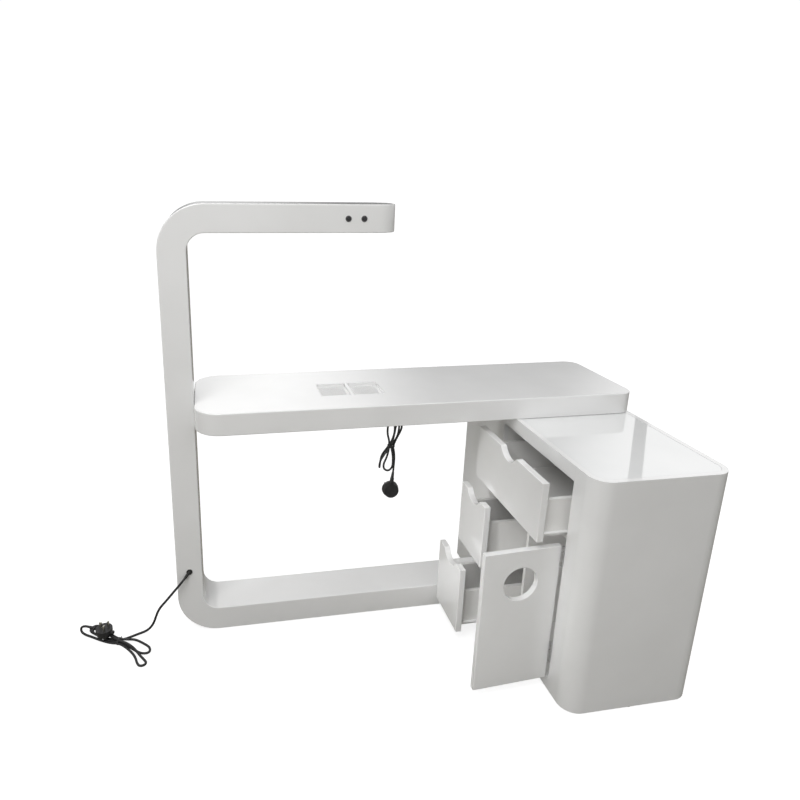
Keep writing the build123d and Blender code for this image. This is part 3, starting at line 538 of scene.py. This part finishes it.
def tie_bundle(name, line, middle, along, leaving, diameter):
    """A band pulled tight round the strands at a hank's middle, its two ends twisted and leaving one way.

    The band runs square to along, and follows the strands that cross that plane.
    """
    side, up = across_and_up(along)
    leaving = (leaving - along * leaving.dot(along)).normalized()
    strands = strands_at(line, middle, along, reach=4 * diameter)
    around, clearance, thick, half_width = 64, 0.05 * MM, 0.9 * MM, 2.2 * MM

    def edge(angle, gap):
        heading = side * math.cos(angle) + up * math.sin(angle)
        outermost = max(strands, key=lambda strand: strand.dot(heading))
        return outermost + heading * (diameter / 2 + gap)

    rings = []
    for step in range(around):
        angle = 2 * math.pi * step / around
        inner, outer = edge(angle, clearance), edge(angle, thick)
        shift = along * half_width
        rings.append([inner - shift, outer - shift, outer + shift, inner + shift])
    rings.append(rings[0])
    points, faces = skin(rings, closed_ends=False)
    band = add_piece(name + "_band", points, faces, tie_plastic, smooth=False)

    # The two short ends are wound round each other as a flat twist, which droops and ends a little wider.
    steps, flared_steps, turn_a_step, half_wide, half_thin = 11, 3, 0.55, 1.3 * MM, 0.7 * MM
    root = edge(math.atan2(leaving.dot(up), leaving.dot(side)), 0)
    rings = []
    for step in range(steps):
        turn = step * turn_a_step
        spread = half_wide * (1 if step < steps - flared_steps else 1.3)
        wide = (along * math.cos(turn) + leaving.cross(along) * math.sin(turn)) * spread
        thin = (along * -math.sin(turn) + leaving.cross(along) * math.cos(turn)) * half_thin
        centre = root + leaving * 0.75 * MM * step + along * 0.03 * MM * step * step
        rings.append([centre - wide - thin, centre + wide - thin, centre + wide + thin, centre - wide + thin])
    points, faces = skin(rings)
    ends = add_piece(name + "_ends", points, faces, tie_plastic, smooth=False)
    return [band, ends]


def plug_sleeve(name, line, diameter):
    """The ribbed, tapering sleeve that keeps a cord from kinking where it enters its plug."""
    length, ribs, rib_share, around, samples = 21 * MM, 5, 0.66, 28, 60
    root, tip, groove = 5.2 * MM, diameter / 2 + 0.6 * MM, 0.6 * MM
    rib_pitch = length / ribs
    backwards = list(reversed(line))
    rings, gone, target = [], 0, 0
    for here, following in zip(backwards, backwards[1:]):
        run = (following - here).length
        while target <= samples and length * target / samples <= gone + run:
            done = length * target / samples
            middle = here.lerp(following, (done - gone) / run)
            along = (following - here).normalized()
            side, up = across_and_up(along)
            share = done / length
            in_rib = (done % rib_pitch) < rib_share * rib_pitch
            radius = root * (1 - share) + tip * share - (0 if in_rib else groove)
            ring = []
            for step in range(around):
                angle = 2 * math.pi * step / around
                ring.append(middle + (side * math.cos(angle) + up * math.sin(angle)) * radius)
            rings.append(ring)
            target += 1
        gone += run
    points, faces = skin(rings)
    return add_piece(name, points, faces, materials["plug_black"])


# How far a plug's pins stand out.
PLUG_PIN = 18 * MM


def metal_pins(node, axis):
    """Gives a plug's pins, which stand out from its back along an axis, the pins' metal."""
    plug = frame["nodes"][node]
    plug.data.materials.append(pin_metal)
    pin_tip = max((plug.matrix_world @ vertex.co)[axis] for vertex in plug.data.vertices)
    for face in plug.data.polygons:
        reach = pin_tip - (plug.matrix_world @ face.center)[axis]
        face.material_index = 1 if reach < PLUG_PIN - 0.1 * MM else 0


lamp_cord = lay_cord("lamp_cord_run", lamp_points, LAMP_CORD)
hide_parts("lamp_cord", "lamp_cord_hank")
lamp_line = centreline(lamp_cord)
lamp_tie = tie_bundle(
    "lamp_tie",
    lamp_line,
    middle=Vector((-884, 100, 8)) * MM,
    along=Vector((-0.93, 0.37, 0)).normalized(),
    leaving=Vector((0.3, 1, 0.25)),
    diameter=LAMP_CORD,
)
lamp_sleeve = plug_sleeve("lamp_plug_sleeve", lamp_line, LAMP_CORD)
metal_pins("lamp_plug", axis=2)

fan_cord = lay_cord("extractor_cord_run", fan_points, FAN_CORD)
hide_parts("extractor_cord_upper", "extractor_cord_hank", "extractor_cord_lower")
fan_line = centreline(fan_cord)
fan_tie = tie_bundle(
    "extractor_tie",
    fan_line,
    middle=Vector((-59, 76, 607)) * MM,
    along=Vector((0, 0, 1)),
    leaving=Vector((0.4, 1, 0)),
    diameter=FAN_CORD,
)
fan_sleeve = plug_sleeve("extractor_plug_sleeve", fan_line, FAN_CORD)
metal_pins("extractor_plug", axis=1)


# ---------------------------------------------------------------------------
# Floor, backdrop, light and camera
# ---------------------------------------------------------------------------
def towards(azimuth, elevation):
    """The direction at these degrees to the right of +Y and above the horizon."""
    a, e = math.radians(azimuth), math.radians(elevation)
    return (math.sin(a) * math.cos(e), math.cos(a) * math.cos(e), math.sin(e))


# direction, degrees within which it is even, degrees at which it is gone, strength
ROOM_LIGHT = (
    (towards(0, 90), 0, 180, 0.23),  # the whole room, brightest overhead
    (towards(180, 25), 10, 100, 0.2),  # the side that the front faces
    (towards(-90, 5), 0, 85, 0.42),  # left
    (towards(95, 0), 0, 75, 0.6),  # right
    (towards(0, 75), 0, 50, 0.55),  # overhead, a little behind
    (towards(-2, 20), 5, 22, 1.2),  # a window that shows in the tabletop
    (towards(45, 20), 6, 14, 0.75),  # a window that shows in the cabinet's glass
)


def stage_mesh(name, points, faces, material, **visible):
    """A part of the studio. Each visible_... setting says which rays meet it."""
    mesh = bpy.data.meshes.new(name)
    mesh.from_pydata(points, [], faces)
    piece = bpy.data.objects.new(name, mesh)
    bpy.context.scene.collection.objects.link(piece)
    dress(piece, material)
    for setting, value in visible.items():
        setattr(piece, setting, value)


def studio_paint(name, colour, glow):
    """Matt paint for the studio, with an even glow of its own."""
    made = finish_of(name, colour, colour, (0.85, 0.95), [(30, 0.0001)], {"Specular IOR Level": 0.1})
    surface = made.node_tree.nodes["Principled BSDF"]
    surface.inputs["Emission Color"].default_value = (1, 1, 1, 1)
    surface.inputs["Emission Strength"].default_value = glow
    return made


def square(half, z):
    """Corners of a level square round the middle of the studio."""
    return [(-half, -half, z), (half, -half, z), (half, half, z), (-half, half, z)]


def make_studio():
    """A white floor and backdrop for the eye, and a greyer floor under it that the light comes back from."""
    seen = dict(visible_diffuse=False, visible_glossy=False, visible_transmission=False, visible_shadow=False)
    one_face = [(0, 1, 2, 3)]
    white_half, grey_half, grey_below, wall_half, wall_foot, ceiling = 60, 20, 2 * MM, 50, -1, 100
    floor_white = studio_paint("floor_white", (0.4, 0.4, 0.4), 0.8)
    stage_mesh("floor", square(white_half, 0), one_face, floor_white, **seen)
    floor_grey = studio_paint("floor_grey", (0.24, 0.23, 0.2), 0.02)
    stage_mesh("floor_below", square(grey_half, -grey_below), one_face, floor_grey, visible_camera=False)

    # A narrow dark screen that only shows as a streak in the reflection on the cabinet's glass.
    glass_low, glass_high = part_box("glass_worktop")
    spot = (glass_low + glass_high) / 2 + Vector(towards(38.5, 20)) * 5
    wide, tall = Vector((0.035, -0.03, 0)), Vector((0.1, 0.08, 1.1))
    screen = [spot - wide - tall, spot + wide - tall, spot + 2 * wide + tall, spot - wide + tall]
    reflected = dict(visible_camera=False, visible_diffuse=False, visible_shadow=False)
    stage_mesh("screen", screen, one_face, studio_paint("screen_grey", (0.3, 0.3, 0.3), 0), **reflected)

    walls_and_ceiling = [(0, 1, 5, 4), (1, 2, 6, 5), (2, 3, 7, 6), (3, 0, 4, 7), (4, 5, 6, 7)]
    backdrop_white = studio_paint("backdrop_white", (0, 0, 0), 1.02)
    walls = square(wall_half, wall_foot) + square(wall_half, ceiling)
    stage_mesh("backdrop", walls, walls_and_ceiling, backdrop_white, **seen)


def patch_of_light(tree, direction, inner, outer, strength):
    """Light from round a direction, even within inner degrees of it and gone at outer degrees."""
    place = tree.nodes.new("ShaderNodeTexCoord")
    facing = tree.nodes.new("ShaderNodeVectorMath")
    facing.operation = "DOT_PRODUCT"
    facing.inputs[1].default_value = direction
    tree.links.new(place.outputs["Generated"], facing.inputs[0])
    ranged = tree.nodes.new("ShaderNodeMapRange")
    ranged.interpolation_type = "SMOOTHSTEP"
    ranged.inputs["From Min"].default_value = math.cos(math.radians(outer))
    ranged.inputs["From Max"].default_value = math.cos(math.radians(inner))
    ranged.inputs["To Min"].default_value = 0
    ranged.inputs["To Max"].default_value = strength
    tree.links.new(facing.outputs["Value"], ranged.inputs["Value"])
    return ranged.outputs["Result"]


def make_world():
    """The room that lights the table: the sum of its patches of light."""
    world = bpy.data.worlds.new("room")
    bpy.context.scene.world = world
    world.use_nodes = True
    tree = world.node_tree
    total = patch_of_light(tree, *ROOM_LIGHT[0])
    for patch in ROOM_LIGHT[1:]:
        both = tree.nodes.new("ShaderNodeMath")
        both.operation = "ADD"
        tree.links.new(total, both.inputs[0])
        tree.links.new(patch_of_light(tree, *patch), both.inputs[1])
        total = both.outputs["Value"]
    background = tree.nodes["Background"]
    tree.links.new(total, background.inputs["Strength"])
    background.inputs["Color"].default_value = (1, 1, 1, 1)


def add_light(name, kind, watts, place, aim, **settings):
    """A lamp at a place, aimed at a point."""
    data = bpy.data.lights.new(name, kind)
    data.energy = watts
    for setting, value in settings.items():
        setattr(data, setting, value)
    light = bpy.data.objects.new(name, data)
    light.location = place
    light.rotation_euler = (Vector(aim) - Vector(place)).to_track_quat("-Z", "Y").to_euler()
    bpy.context.scene.collection.objects.link(light)


def make_lights():
    """A large softbox above the left of the front, and a spot for the fronts below the tabletop."""
    table_middle = (Vector(cad_box[0]) + Vector(cad_box[1])) / 2
    add_light(
        "softbox",
        "AREA",
        watts=39,
        place=table_middle + Vector((-1.2, -1.6, 2.2)),
        aim=table_middle,
        shape="DISK",
        size=1.6,
    )
    # The spot fills in the drawers and the door, and leaves the floor beam alone.
    lower_fronts = Vector(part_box("middle_drawer_front")[0])
    add_light(
        "low_fill",
        "SPOT",
        watts=72,
        place=lower_fronts + Vector((-2, -0.9, 0)),
        aim=lower_fronts + Vector((0, 0.05, 0.06)),
        spot_size=math.radians(22),
        spot_blend=1,
        shadow_soft_size=0.2,
    )


def make_camera():
    """The viewpoint: in front of the table's left half, above the head of a seated client."""
    eye = Vector((-0.5672, -1.6459, 1.3763))
    yaw, pitch, roll = 0.193025, 0.29172, 0.0156176  # radians: to the right of +Y, downwards, about the view
    forward = Vector((math.sin(yaw) * math.cos(pitch), math.cos(yaw) * math.cos(pitch), -math.sin(pitch)))
    level = Vector((math.cos(yaw), -math.sin(yaw), 0))
    upright = level.cross(forward)
    right = level * math.cos(roll) + upright * math.sin(roll)
    up = upright * math.cos(roll) - level * math.sin(roll)
    data = bpy.data.cameras.new("camera")
    data.sensor_width = 36
    data.lens = 29.19
    data.shift_x = 0.081
    data.shift_y = -0.0375
    camera = bpy.data.objects.new("camera", data)
    axes = Matrix((right, up, -forward)).transposed()
    camera.matrix_world = Matrix.Translation(eye) @ axes.to_4x4()
    bpy.context.scene.collection.objects.link(camera)
    bpy.context.scene.camera = camera


make_studio()
make_world()
make_lights()
make_camera()
bpy.context.scene.view_settings.view_transform = "Standard"  # white stays white
